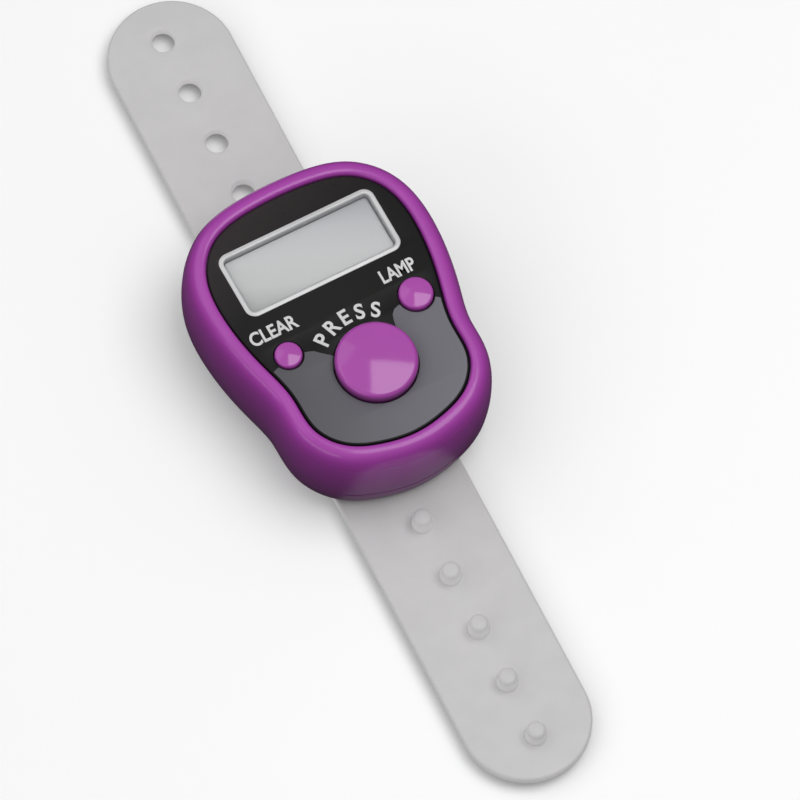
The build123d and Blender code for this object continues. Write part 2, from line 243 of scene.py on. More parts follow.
def outline_ring(name, profile, material, smooth):
    """A closed ring: a profile of (growth, height) carried round the housing outline."""
    vertices = []
    for grow, z in profile:
        loop = grown(grow)
        vertices += [(x, HOUSING_Y + y, z) for x, y in loop]
    faces = ring_faces(len(profile), len(EDGE))
    return new_piece(name, vertices, faces, material, smooth)


def rounded_stages(z_low, z_high, bevel, rounds):
    """Rows of (inset, height) down a plate's edge, from its top face to its underside."""
    turns = [math.radians(90 * step / rounds) for step in range(rounds + 1)]
    upper = [(bevel * (1 - math.sin(turn)), z_high - bevel * (1 - math.cos(turn))) for turn in turns]
    lower = [(bevel * (1 - math.cos(turn)), z_low + bevel * (1 - math.sin(turn))) for turn in turns]
    return upper + lower


def plate_mesh(loops, z_low, z_high, bevel, rounds):
    """Vertices and faces of a flat plate: the first loop is its edge, the others are holes.

    The bevel is one size for the whole plate, or a list with one size per loop.
    """
    bevels = bevel if isinstance(bevel, list) else [bevel] * len(loops)
    vertices = []
    faces = []
    tops = []
    bottoms = []
    for number, loop in enumerate(loops):
        stages = rounded_stages(z_low, z_high, bevels[number], rounds)
        loop = anticlockwise(loop)
        inward = -outward(loop) if number == 0 else outward(loop)
        start = len(vertices)
        for inset, z in stages:
            vertices += [(x, y, z) for x, y in loop + inward * inset]
        faces += [tuple(start + i for i in face) for face in ring_faces(len(stages), len(loop), False)]
        tops.append(list(range(start, start + len(loop))))
        last = start + (len(stages) - 1) * len(loop)
        bottoms.append(list(range(last, last + len(loop))))
    for rims in (tops, bottoms):
        flat = [index for rim in rims for index in rim]
        shape = [[Vector(vertices[index]) for index in rim] for rim in rims]
        faces += [tuple(flat[i] for i in triangle) for triangle in tessellate_polygon(shape)]
    return vertices, faces


def plate(name, loops, z_low, z_high, bevel, material, place=None, rounds=3):
    """A bevelled plate; place turns and moves it, and without it x, y are from the housing."""
    vertices, faces = plate_mesh(loops, z_low, z_high, bevel, rounds)
    if place is None:
        vertices = [(x, HOUSING_Y + y, z) for x, y, z in vertices]
    else:
        vertices = [tuple(place @ Vector(v)) for v in vertices]
    return new_piece(name, vertices, faces, material)


def lathe(name, profile, spot, material, steps, smooth, place=None):
    """A turned solid from a profile of (radius, height) whose two ends lie on the axis.

    It stands at spot, from the housing centre, unless place turns and moves it.
    """
    vertices = []
    faces = []
    rows = []
    for radius, z in profile:
        if radius == 0:
            rows.append([len(vertices)])
            vertices.append((0, 0, z))
        else:
            rows.append(list(range(len(vertices), len(vertices) + steps)))
            vertices += [(x, y, z) for x, y in circle(0, 0, radius, steps)]
    for low, high in zip(rows, rows[1:]):
        for i in range(steps):
            j = (i + 1) % steps
            if len(low) == 1:
                faces.append((low[0], high[j], high[i]))
            elif len(high) == 1:
                faces.append((low[i], low[j], high[0]))
            else:
                faces.append((low[i], low[j], high[j], high[i]))
    if place is None:
        vertices = [(spot[0] + x, HOUSING_Y + spot[1] + y, z) for x, y, z in vertices]
    else:
        vertices = [tuple(place @ Vector(v)) for v in vertices]
    return new_piece(name, vertices, faces, material, smooth)


def arc(centre, radius, start, stop, steps=6):
    points = []
    for step in range(steps + 1):
        turn = math.radians(start + (stop - start) * step / steps)
        points.append((centre[0] + radius * math.cos(turn), centre[1] + radius * math.sin(turn)))
    return points


# ---- materials ---------------------------------------------------------------------------

def shader(name, color, roughness, **sockets):
    material = bpy.data.materials.new(name)
    material.use_nodes = True
    nodes = material.node_tree.nodes
    principled = nodes["Principled BSDF"]
    principled.inputs["Base Color"].default_value = (*color, 1.0)
    principled.inputs["Roughness"].default_value = roughness
    for socket, value in sockets.items():
        principled.inputs[socket.replace("_", " ")].default_value = value
    return material, nodes, material.node_tree.links, principled


def object_noise(nodes, links, scale, detail=4.0, rough=0.55):
    coordinates = nodes.new("ShaderNodeTexCoord")
    noise = nodes.new("ShaderNodeTexNoise")
    noise.inputs["Scale"].default_value = scale
    noise.inputs["Detail"].default_value = detail
    noise.inputs["Roughness"].default_value = rough
    links.new(coordinates.outputs["Object"], noise.inputs["Vector"])
    return noise


def vary_color(nodes, links, principled, factor, dark, light, low=0.35, high=0.65):
    ramp = nodes.new("ShaderNodeValToRGB")
    ramp.color_ramp.elements[0].position = low
    ramp.color_ramp.elements[0].color = (*dark, 1.0)
    ramp.color_ramp.elements[1].position = high
    ramp.color_ramp.elements[1].color = (*light, 1.0)
    links.new(factor, ramp.inputs["Fac"])
    links.new(ramp.outputs["Color"], principled.inputs["Base Color"])


def vary_roughness(nodes, links, principled, factor, low, high):
    spread = nodes.new("ShaderNodeMapRange")
    spread.inputs["From Min"].default_value = 0.3
    spread.inputs["From Max"].default_value = 0.7
    spread.inputs["To Min"].default_value = low
    spread.inputs["To Max"].default_value = high
    links.new(factor, spread.inputs["Value"])
    links.new(spread.outputs["Result"], principled.inputs["Roughness"])


def add_bump(nodes, links, principled, height, distance):
    bump = nodes.new("ShaderNodeBump")
    bump.inputs["Strength"].default_value = 0.5
    bump.inputs["Distance"].default_value = distance
    links.new(height, bump.inputs["Height"])
    links.new(bump.outputs["Normal"], principled.inputs["Normal"])


def noisy_plastic(name, color, spread, roughness, grain_scale, grain_depth, **sockets):
    """Moulded plastic: cloudy colour, uneven gloss and a fine surface grain."""
    material, nodes, links, principled = shader(name, color, roughness, **sockets)
    cloud = object_noise(nodes, links, 180.0, 3.0)
    dark = tuple(c * (1 - spread) for c in color)
    light = tuple(min(1.0, c * (1 + spread)) for c in color)
    vary_color(nodes, links, principled, cloud.outputs["Fac"], dark, light)
    smear = object_noise(nodes, links, 420.0, 5.0)
    vary_roughness(nodes, links, principled, smear.outputs["Fac"], roughness * 0.9, roughness * 1.12)
    grain = object_noise(nodes, links, grain_scale, 2.0)
    add_bump(nodes, links, principled, grain.outputs["Fac"], grain_depth)
    return material


PURPLE = noisy_plastic("purple_gloss", (0.375, 0.054, 0.38), 0.03, 0.20, 2600.0, 5e-8)
PURPLE_CAP = noisy_plastic("purple_cap", (0.385, 0.062, 0.375), 0.03, 0.085, 2600.0, 5e-8)
PURPLE_WALL = noisy_plastic("purple_satin", (0.28, 0.030, 0.28), 0.06, 0.38, 5200.0, 4e-6)
BEZEL = noisy_plastic("display_bezel", (0.40, 0.40, 0.42), 0.05, 0.45, 2800.0, 2e-6)
INK = noisy_plastic("label_ink", (0.62, 0.62, 0.62), 0.06, 0.4, 3000.0, 3e-6)
SILVER = noisy_plastic("silver_border", (0.56, 0.56, 0.565), 0.05, 0.36, 2800.0, 1e-6, Metallic=0.2)
DIFFUSER = noisy_plastic("frosted_diffuser", (0.82, 0.83, 0.80), 0.03, 0.5, 3000.0, 4e-6)
BLACK_EPOXY = noisy_plastic("black_epoxy", (0.012, 0.012, 0.013), 0.3, 0.4, 1500.0, 2e-5)
CERAMIC = noisy_plastic("ceramic_body", (0.42, 0.30, 0.18), 0.08, 0.5, 3000.0, 6e-6)
BOARD = noisy_plastic("solder_mask", (0.02, 0.14, 0.045), 0.25, 0.3, 1200.0, 8e-6)
STRIPED = noisy_plastic("striped_rubber", (0.10, 0.10, 0.10), 0.4, 0.6, 2500.0, 8e-6)


def metal(name, color, roughness, stretch):
    """Plated or rolled metal with fine drawn lines along one direction."""
    material, nodes, links, principled = shader(name, color, roughness, Metallic=1.0)
    coordinates = nodes.new("ShaderNodeTexCoord")
    mapping = nodes.new("ShaderNodeMapping")
    mapping.inputs["Scale"].default_value = stretch
    noise = nodes.new("ShaderNodeTexNoise")
    noise.inputs["Scale"].default_value = 600.0
    noise.inputs["Detail"].default_value = 4.0
    links.new(coordinates.outputs["Object"], mapping.inputs["Vector"])
    links.new(mapping.outputs["Vector"], noise.inputs["Vector"])
    vary_roughness(nodes, links, principled, noise.outputs["Fac"], roughness * 0.7, roughness * 1.4)
    vary_color(nodes, links, principled, noise.outputs["Fac"],
               tuple(c * 0.9 for c in color), tuple(min(1.0, c * 1.05) for c in color))
    add_bump(nodes, links, principled, noise.outputs["Fac"], 3e-6)
    return material


STEEL = metal("plated_spring_steel", (0.72, 0.71, 0.68), 0.28, (1.0, 12.0, 1.0))
SCREW = metal("zinc_screw", (0.62, 0.63, 0.65), 0.33, (6.0, 6.0, 1.0))
CELL = metal("cell_can", (0.74, 0.74, 0.73), 0.22, (3.0, 3.0, 14.0))


SIDE = "side"                      # mesh attribute: 0 on the flat faces, 1 on the sides


def silicone(name, glow):
    """Milky silicone: soft satin skin, faint mottling, and a painted glow at its sides that stands in for
    light scattered through the translucent silicone.
    """
    material, nodes, links, principled = shader(
        name, (0.555, 0.547, 0.549), 0.45, Specular_IOR_Level=0.38)
    cloud = object_noise(nodes, links, 260.0, 6.0, 0.6)
    vary_color(nodes, links, principled, cloud.outputs["Fac"],
               (0.54, 0.532, 0.534), (0.57, 0.562, 0.565), 0.3, 0.7)
    smear = object_noise(nodes, links, 500.0, 4.0)
    vary_roughness(nodes, links, principled, smear.outputs["Fac"], 0.38, 0.52)
    grain = object_noise(nodes, links, 3800.0, 3.0)
    add_bump(nodes, links, principled, grain.outputs["Fac"], 3e-6)
    # painted glow: the steep sides emit light, standing in for light scattered inside the silicone
    side = nodes.new("ShaderNodeAttribute")
    side.attribute_name = SIDE
    scaled = nodes.new("ShaderNodeMath")
    scaled.operation = "MULTIPLY"
    scaled.inputs[1].default_value = glow
    links.new(side.outputs["Fac"], scaled.inputs[0])
    links.new(scaled.outputs["Value"], principled.inputs["Emission Strength"])
    principled.inputs["Emission Color"].default_value = (1.0, 0.985, 0.99, 1.0)
    return material


def mark_sides(mesh):
    """Stores how steep the surface is at each point, for the silicone's painted side glow."""
    values = [1.0 - abs(vertex.normal.z) for vertex in mesh.vertices]
    mesh.attributes.new(SIDE, "FLOAT", "POINT").data.foreach_set("value", values)


SILICONE = silicone("milky_silicone", 0.30)
PEG_SILICONE = silicone("peg_silicone", 0.22)


def clear_window():
    """Clear acrylic: see-through, with a gloss skin that strengthens towards grazing angles."""
    material, nodes, links, principled = shader("clear_window", (0.97, 0.98, 0.98), 0.06)
    smear = object_noise(nodes, links, 350.0, 5.0)
    vary_roughness(nodes, links, principled, smear.outputs["Fac"], 0.05, 0.09)
    glance = nodes.new("ShaderNodeLayerWeight")
    glance.inputs["Blend"].default_value = 0.5
    rise = nodes.new("ShaderNodeMath")
    rise.operation = "POWER"
    rise.inputs[1].default_value = 4.0
    skin = nodes.new("ShaderNodeMath")
    skin.operation = "MULTIPLY_ADD"
    skin.inputs[1].default_value = 0.4
    skin.inputs[2].default_value = 0.02
    links.new(glance.outputs["Facing"], rise.inputs[0])
    links.new(rise.outputs["Value"], skin.inputs[0])
    links.new(skin.outputs["Value"], principled.inputs["Alpha"])
    return material


WINDOW = clear_window()


def painted_light_plastic(name, roughness, direction, start, end, colors, **sockets):
    """Plastic with painted shade and reflection: its colour shades across the object, from start to end
    along a direction.
    """
    material, nodes, links, principled = shader(name, colors[0], roughness, **sockets)
    coordinates = nodes.new("ShaderNodeTexCoord")
    slope = nodes.new("ShaderNodeVectorMath")
    slope.operation = "DOT_PRODUCT"
    slope.inputs[1].default_value = direction
    spread = nodes.new("ShaderNodeMapRange")
    spread.inputs["From Min"].default_value = Vector(direction).dot(start) * MM
    spread.inputs["From Max"].default_value = Vector(direction).dot(end) * MM
    ramp = nodes.new("ShaderNodeValToRGB")
    ramp.color_ramp.elements[0].color = (*colors[0], 1.0)
    ramp.color_ramp.elements[1].color = (*colors[-1], 1.0)
    for number, color in enumerate(colors[1:-1], 1):
        ramp.color_ramp.elements.new(number / (len(colors) - 1)).color = (*color, 1.0)
    links.new(coordinates.outputs["Object"], slope.inputs[0])
    links.new(slope.outputs["Value"], spread.inputs["Value"])
    links.new(spread.outputs["Result"], ramp.inputs["Fac"])
    links.new(ramp.outputs["Color"], principled.inputs["Base Color"])
    smear = object_noise(nodes, links, 420.0, 5.0)
    vary_roughness(nodes, links, principled, smear.outputs["Fac"], roughness * 0.9, roughness * 1.12)
    grain = object_noise(nodes, links, 4000.0, 2.0)
    add_bump(nodes, links, principled, grain.outputs["Fac"], 5e-7)
    return material


# unpowered display: silver grey, with painted shade and reflection: lightest in the middle and darker
# towards two opposite corners, the top right one standing in for the recess's shadow
DISPLAY = painted_light_plastic("display_grey", 0.35, (0.35, 0.94, 0.0), *mm_box("front_polariser"),
                         [(0.335, 0.345, 0.340), (0.500, 0.510, 0.510), (0.520, 0.531, 0.534),
                          (0.480, 0.487, 0.506), (0.355, 0.357, 0.380)])
# black field, a little lighter towards the display end as a painted reflection, and a slate-grey field
# that is a painted reflection of a softbox, lighter to the right
PANEL_BLACK = painted_light_plastic("panel_black", 0.30, (-0.35, 0.94, 0.0), (0.0, 2.0, 0.0), (-5.0, 18.5, 0.0),
                             [(0.004, 0.0038, 0.0036), (0.008, 0.0072, 0.0072), (0.026, 0.0215, 0.0225)],
                             Specular_IOR_Level=0.14)
PANEL_REFLECTION_GREY = painted_light_plastic("panel_reflection_grey", 0.36, (0.94, -0.34, 0.0), (-10.0, 0.0, 0.0), (11.0, -14.0, 0.0),
                            [(0.095, 0.094, 0.104), (0.178, 0.175, 0.198)], Specular_IOR_Level=0.12)


def by_height(material, low, high, start=0.0, end=1.0):
    """A socket that runs from start at the height low to end at the height high."""
    nodes = material.node_tree.nodes
    links = material.node_tree.links
    coordinates = nodes.new("ShaderNodeTexCoord")
    split = nodes.new("ShaderNodeSeparateXYZ")
    spread = nodes.new("ShaderNodeMapRange")
    spread.inputs["From Min"].default_value = low * MM
    spread.inputs["From Max"].default_value = high * MM
    spread.inputs["To Min"].default_value = start
    spread.inputs["To Max"].default_value = end
    links.new(coordinates.outputs["Object"], split.inputs["Vector"])
    links.new(split.outputs["Z"], spread.inputs["Value"])
    return spread.outputs["Result"]


def rim_gloss(material, low, high, satin, gloss):
    """Makes the roughness fall with height, from a satin wall to a glossy rim."""
    roughness = material.node_tree.nodes["Principled BSDF"].inputs["Roughness"]
    material.node_tree.links.new(by_height(material, low, high, satin, gloss), roughness)


def painted_shade_by_height(material, low, high, shade_color):
    """Painted shade: multiplies the colour by a darker colour at the height low, and leaves it alone from
    high upwards.
    """
    nodes = material.node_tree.nodes
    links = material.node_tree.links
    base = nodes["Principled BSDF"].inputs["Base Color"]
    ramp = nodes.new("ShaderNodeValToRGB")
    ramp.color_ramp.elements[0].color = (*shade_color, 1.0)
    ramp.color_ramp.elements[1].color = (1.0, 1.0, 1.0, 1.0)
    product = nodes.new("ShaderNodeVectorMath")
    product.operation = "MULTIPLY"
    links.new(base.links[0].from_socket, product.inputs[0])
    links.new(by_height(material, low, high), ramp.inputs["Fac"])
    links.new(ramp.outputs["Color"], product.inputs[1])
    links.new(product.outputs["Vector"], base)


PURPLE_SHELL = noisy_plastic("purple_shell", (0.375, 0.054, 0.38), 0.03, 0.2, 5200.0, 2e-7,
                             Specular_IOR_Level=0.4)
PURPLE_BIG_CAP = noisy_plastic("purple_big_cap", (0.385, 0.062, 0.375), 0.03, 0.085, 2600.0, 5e-8)
rim_gloss(PURPLE_SHELL, BASE + 7.5, BASE + 10.6, 0.42, 0.19)
# painted shade: the shell's wall and the big cap's foot darken towards the bottom, where shade falls
painted_shade_by_height(PURPLE_SHELL, BASE, BASE + 9.8, (0.26, 0.66, 0.25))
painted_shade_by_height(PURPLE_BIG_CAP, PANEL_TOP, PANEL_TOP + 1.15, (0.28, 0.34, 0.28))


# ---- housing -----------------------------------------------------------------------------

HOUSING = "housing"


def ride(piece, body, slot, *nodes):
    """Fixes a piece to a body and hides the CAD nodes that it stands in for; the material slot is not
    used.
    """
    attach(piece, body)
    if nodes:
        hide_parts(*nodes)


def make_shell():
    """The shell's wall and rolled rim as (growth, height above BASE), and the deck under the panel."""
    wall = [(2.66, 3.45), (2.70, 4.4), (2.70, 5.6), (2.63, 7.5), (2.44, 9.2), (2.22, 10.2),
            (1.90, 10.95), (1.44, 11.45), (0.92, 11.68), (0.48, 11.70), (0.22, 11.6), (0.08, 11.4)]
    outer = [(2.58, 3.33)] + open_spline(wall, 5)
    inner = [(0.05, 11.25), (0.05, 10.37), (-0.8, 10.35), (-0.8, 9.55), (1.2, 9.55), (1.2, 3.33)]
    profile = [(grow, BASE + height) for grow, height in outer + inner]
    shell = outline_ring("front_shell_skin", profile, PURPLE_SHELL, 50.0)
    ride(shell, HOUSING, "purple_plastic", "front_shell")
    window = rounded_rectangle(0, DISPLAY_Y, 19.9, 8.5, 0.9)
    deck = plate("front_shell_deck", [grown(-0.75), window] + button_holes(64), DECK, PANEL_LOW - 0.02,
                 0.02, PURPLE)
    ride(deck, HOUSING, "purple_plastic", "front_shell")


def button_holes(big_steps):
    """Edges of the three button holes, with big_steps points round the big one."""
    counts = (big_steps, 64, 64)
    return [circle(*spot, radius, steps) for (spot, radius), steps in zip(BUTTON_HOLES, counts)]


def make_panel():
    """The panel, the display's border, collar, window and sheet, and the grey field of painted
    reflection.
    """
    window = rounded_rectangle(0, DISPLAY_Y, 19.4, 8.0, 1.0)
    loops = [grown(-0.05), window] + button_holes(96)
    bevels = [0.3, 0.05, 0.08, 0.06, 0.06]
    panel = plate("fascia_gloss", loops, PANEL_LOW, PANEL_TOP, bevels, PANEL_BLACK, rounds=6)
    ride(panel, HOUSING, "black_panel", "fascia_panel")
    frame_loops = [rounded_rectangle(0, DISPLAY_Y, 20.0, 8.6, 1.3, 14),
                   rounded_rectangle(0, DISPLAY_Y, 18.8, 7.4, 0.75, 14)]
    border = plate("display_border", frame_loops, PANEL_TOP - 0.25, PANEL_TOP + 0.06, 0.14, SILVER)
    ride(border, HOUSING, "silver_frame", "display_frame")
    collar_loops = [rounded_rectangle(0, DISPLAY_Y, 19.38, 7.98, 0.98),
                    rounded_rectangle(0, DISPLAY_Y, 18.68, 7.28, 0.6)]
    collar = plate("window_collar", collar_loops, DECK, PANEL_TOP - 0.1, 0.02, BEZEL)
    ride(collar, HOUSING, "black_panel")
    pane_shape = rounded_rectangle(0, DISPLAY_Y, 18.4, 7.0, 0.4)
    pane = plate("display_window", [pane_shape], PANEL_TOP - 0.72, PANEL_TOP - 0.03, 0.05, WINDOW)
    ride(pane, HOUSING, "clear_window", "display_lens")
    sheet = plate("display_sheet", [pane_shape], PANEL_TOP - 1.0, PANEL_TOP - 0.78, 0.02, DISPLAY)
    ride(sheet, HOUSING, "lcd_grey", "front_polariser")
    # painted reflection: a grey field where a softbox's reflection lies across the panel's finger end
    zone = plate("painted_reflection_zone", [reflection_zone_edge()], PANEL_TOP - 0.2, PANEL_TOP + 0.015, 0.01,
                 PANEL_REFLECTION_GREY)
    ride(zone, HOUSING, "black_panel")


def reflection_zone_edge():
    """Edge of the slate-grey field, a painted reflection of a softbox, that surrounds the buttons at the
    finger end.
    """
    border = [tuple(p) for p in grown(-0.37)]
    border.sort(key=lambda p: math.atan2(p[0], -p[1]))
    low = [p for p in border if p[1] < (-3.1 if p[0] > 0 else -2.5)]
    ends = arc(RESET_SPOT, 1.85, 205, 344, 12)
    ends += [(-6.0, -2.25), (-5.4, -2.5), (-4.95, -2.95)]
    ends += arc(COUNT_SPOT, 4.94, 141, 393, 60)
    ends += [(4.45, -3.3), (4.7, -2.6), (5.2, -2.1), (5.9, -1.9)]
    ends += arc(LED_SPOT, 2.25, 190, 325, 14)
    return low[::-1] + ends


LABEL_BOLD = 0.06
LABEL_DEPTH = 0.012                # half the thickness of the ink
LABEL_RISE = 0.008                 # middle of the ink above the panel


def label(name, text, size, x, y, turn, stretch):
    """Printed lettering as a thin closed mesh, centred at x, y from the housing centre."""
    curve = bpy.data.curves.new(name, "FONT")
    curve.body = text
    curve.size = size
    curve.align_x = "CENTER"
    curve.align_y = "CENTER"
    curve.offset = LABEL_BOLD
    curve.extrude = LABEL_DEPTH
    holder = bpy.data.objects.new(name + "_text", curve)
    bpy.context.scene.collection.objects.link(holder)
    bpy.context.view_layer.update()
    mesh = bpy.data.meshes.new_from_object(holder)
    bpy.data.objects.remove(holder)
    place = Matrix.Diagonal((MM, MM, MM, 1.0))
    place = place @ Matrix.Translation((x, HOUSING_Y + y, PANEL_TOP + LABEL_RISE))
    place = place @ Matrix.Rotation(turn, 4, "Z") @ Matrix.Diagonal((stretch, 1.0, 1.0, 1.0))
    mesh.transform(place)
    bm = bmesh.new()
    bm.from_mesh(mesh)
    bmesh.ops.remove_doubles(bm, verts=bm.verts, dist=1e-7)
    bm.to_mesh(mesh)
    bm.free()
    mesh.name = name
    ride(finish_piece(name, mesh, INK), HOUSING, "silver_frame")


def make_labels():
    label("label_clear", "CLEAR", 2.35, -8.36, 1.75, 0.0, 0.84)
    label("label_lamp", "LAMP", 2.3, 7.75, 1.85, 0.0, 0.78)
    reach = 6.6                    # from the big button's centre to the letters round it
    for number, (letter, degrees) in enumerate(zip("PRESS", (-37, -20.5, -4.0, 12.0, 28.0))):
        turn = math.radians(degrees)
        x = COUNT_SPOT[0] + reach * math.sin(turn)
        y = COUNT_SPOT[1] + reach * math.cos(turn)
        label(f"label_press_{number + 1}", letter, 2.6, x, y, -turn, 0.95)


CAP_GAP = 0.05                     # play between a cap and its neighbours
FLANGE_THICKNESS = 0.8
BOARD_DROP = 2.4                   # circuit board below the deck
DOME_HEIGHT = 0.45
CAP_BORE_TOP = 0.9                 # roof of a cap's bore above the deck


def cap_profile(radius, height, flange, travel, shoulder, crown):
    """Hollow moulded cap: crowned top, rounded shoulder, flange under the deck and a stem."""
    top = PANEL_TOP + height
    flange_top = DECK - CAP_GAP
    flange_low = flange_top - FLANGE_THICKNESS
    bore = radius - 0.18 * radius
    bore_top = DECK + CAP_BORE_TOP
    stem = 0.4 * radius
    stem_low = DECK - BOARD_DROP + DOME_HEIGHT + travel + CAP_GAP
    edge_z = top - crown - shoulder
    points = [(0.0, top)]
    for step in range(1, 9):
        share = step / 8
        points.append(((radius - shoulder) * share, top - crown * share ** 2))
    points += arc((radius - shoulder, edge_z), shoulder, 78, 0, 7)
    points += [(radius, flange_top), (flange, flange_top), (flange, flange_low)]
    points += [(bore, flange_low), (bore, bore_top), (stem, bore_top), (stem, stem_low), (0.0, stem_low)]
    return points


def make_buttons():
    # each button's name, centre, the numbers that cap_profile takes, and material
    for name, spot, sizes, finish in (
            ("count", COUNT_SPOT, (4.77, 1.7, 5.6, 0.8, 0.62, 0.27), PURPLE_BIG_CAP),
            ("reset", RESET_SPOT, (1.6, 0.5, 2.2, 0.4, 0.32, 0.12), PURPLE_CAP),
            ("led", LED_SPOT, (2.0, 0.8, 2.6, 0.4, 0.36, 0.2), PURPLE_CAP)):
        node = name + "_button"
        cap = lathe(name + "_cap", cap_profile(*sizes), spot, finish, 128, 30.0)
        ride(cap, node, "purple_plastic", node)


def make_rear_cover():
    """The rear cover's wall, its base with the openings, and the two loops that hold the strap."""
    wall = [(1.72, 0.08), (2.0, 0.28), (2.2, 0.62), (2.38, 1.2), (2.52, 1.9), (2.61, 2.7), (2.63, 3.08)]
    outer = [(1.2, 0.0), (1.5, 0.0)] + open_spline(wall, 4) + [(2.56, 3.2)]
    profile = [(grow, BASE + height) for grow, height in outer + [(1.2, 3.22)]]
    ring = outline_ring("rear_cover_wall", profile, PURPLE_SHELL, 50.0)
    ride(ring, HOUSING, "rear_plastic", "rear_cover")
    door = []                      # round the battery door: two half circles, then an ear for its screw
    door_radius = 6.35
    for centre, start in ((5.95, -90), (-5.95, 90)):
        for turn in np.linspace(start, start + 180, 25):
            angle = math.radians(turn)
            door.append((centre + door_radius * math.cos(angle), 0.6 + door_radius * math.sin(angle)))
    ear = [(-2.05, -5.75), (-2.05, -7.6), (-1.4, -8.42), (1.4, -8.42), (2.05, -7.6), (2.05, -5.75)]
    holes = [grown(1.2), door + ear]
    screw_hole = 1.5
    for x, y in ((5.5, 15.1), (-5.5, 15.1), (6.3, -12.7), (-6.3, -12.7)):
        holes.append(circle(x, y, screw_hole, 32))
    base = plate("rear_cover_base", holes, BASE, COVER_FLOOR, 0.0, PURPLE_WALL)
    ride(base, HOUSING, "rear_plastic", "rear_cover")
    outline = np.array([(-11.2, 0.0), (11.2, 0.0), (11.2, 2.7), (9.3, 2.7), (9.3, 1.0), (-9.3, 1.0),
                        (-9.3, 2.7), (-11.2, 2.7)])
    for name, y in (("strap_loop_display_end", 9.6), ("strap_loop_finger_end", -9.6)):
        turn = Matrix.Translation((0, HOUSING_Y + y, 0)) @ Matrix.Rotation(math.radians(90), 4, "X")
        loop = plate(name, [outline], -1.0, 1.0, 0.22, PURPLE_WALL, turn)
        ride(loop, HOUSING, "rear_plastic", "rear_cover")


# ---- strap -------------------------------------------------------------------------------

STRAP_PLACE = Matrix.Translation((SHIFT, HOUSING_Y, 0)) @ Matrix.Rotation(-LEAN, 4, "Z")


def whole_strap():
    """The flat strap as one mesh, with its sides marked before it is cut into pieces."""
    radius = STRAP_WIDTH / 2
    upper = arc((0, UPPER_REACH - radius), radius, 0, 180, 48)
    lower = arc((0, radius - LOWER_REACH), radius, 180, 360, 48)
    loops = [np.array(upper + lower)]
    for index in range(5):
        loops.append(circle(0, UPPER_REACH - TIP_TO_PEG - index * PITCH, HOLE_RADIUS, 48))
    vertices, faces = plate_mesh(loops, STRAP_LOW, STRAP_TOP, 0.38, 5)
    mesh = bpy.data.meshes.new("whole_strap")
    mesh.from_pydata([tuple(v) for v in vertices], [], faces)
    bm = bmesh.new()
    bm.from_mesh(mesh)
    bmesh.ops.recalc_face_normals(bm, faces=bm.faces)
    bm.to_mesh(mesh)
    bm.free()
    mark_sides(mesh)
    return mesh


def strap_piece(source, name, low, high, bends):
    """The stretch of strap between low and high, closed at its cuts and ready to bend."""
    bm = bmesh.new()
    bm.from_mesh(source)
    for y, side in ((low, -1), (high, 1)):
        if abs(y) == BEYOND_TIP:
            continue
        everything = bm.verts[:] + bm.edges[:] + bm.faces[:]
        cut = bmesh.ops.bisect_plane(bm, geom=everything, dist=1e-6, plane_co=(0, y, 0),
                                     plane_no=(0, side, 0), clear_outer=True)
        edges = [e for e in cut["geom_cut"] if isinstance(e, bmesh.types.BMEdge)]
        bmesh.ops.holes_fill(bm, edges=edges, sides=0)
    for y in bends:
        everything = bm.verts[:] + bm.edges[:] + bm.faces[:]
        bmesh.ops.bisect_plane(bm, geom=everything, dist=1e-6, plane_co=(0, y, 0), plane_no=(0, 1, 0))
    bmesh.ops.recalc_face_normals(bm, faces=bm.faces)
    bm.transform(Matrix.Diagonal((MM, MM, MM, 1.0)) @ STRAP_PLACE)
    mesh = bpy.data.meshes.new(name)
    bm.to_mesh(mesh)
    bm.free()
    return finish_piece(name, mesh, SILICONE, 40.0)


def make_arm(source, side, bends, softness, cuts, name):
    """Cuts each stretch of the arm with close lines round its hinge line and hides the CAD node it stands
    in for; the last one carries the tip of the arm.
    """
    ends = cuts[1:] + [BEYOND_TIP]
    for number, (bend, soft) in enumerate(zip(bends, softness)):
        body = f"{name}_{number + 1}"
        inner, outer = cuts[number], ends[number]
        low, high = (inner, outer) if side > 0 else (-outer, -inner)
        lines = [side * (bend - soft + 2 * soft * step / 12) for step in range(13)]
        piece = strap_piece(source, f"{name}_skin_{number + 1}", low, high, lines)
        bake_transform(piece)
        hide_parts(body)


def make_pegs():
    """Five rounded pegs; each rides the stretch of the lower arm that it stands on."""
    for index in range(5):
        distance = LOWER_REACH - TIP_TO_PEG - index * PITCH
        body = HOUSING
        for number, bend in enumerate(LOWER_BENDS):
            if distance > bend:
                body = f"peg_arm_{number + 1}"
        top = STRAP_TOP + PEG_HEIGHT
        foot = STRAP_TOP - 0.05
        profile = [(0.0, top), (0.35, top - 0.02)] + arc((PEG_RADIUS - 0.55, top - 0.6), 0.55, 75, 0, 6)
        profile += [(PEG_RADIUS, foot + 0.45)] + arc((PEG_RADIUS + 0.35, foot + 0.4), 0.35, 180, 270, 5)
        profile += [(PEG_RADIUS + 0.35, foot - 0.2), (0.0, foot - 0.2)]
        place = STRAP_PLACE @ Matrix.Translation((0, -distance, 0))
        peg = lathe(f"peg_{index + 1}", profile, (0, 0), PEG_SILICONE, 48, 40.0, place)
        mark_sides(peg.data)
        ride(peg, body, "strap_silicone")


def make_strap():
    source = whole_strap()
    centre = strap_piece(source, "strap_centre_skin", -LOWER_CUTS[0], UPPER_CUTS[0], [])
    ride(centre, HOUSING, "strap_silicone", "strap_centre")
    make_arm(source, 1, UPPER_BENDS, UPPER_SOFT, UPPER_CUTS, "hole_arm")
    make_arm(source, -1, LOWER_BENDS, LOWER_SOFT, LOWER_CUTS, "peg_arm")
    make_pegs()


# ---- CAD nodes that keep their shape --------------------------------------------------------

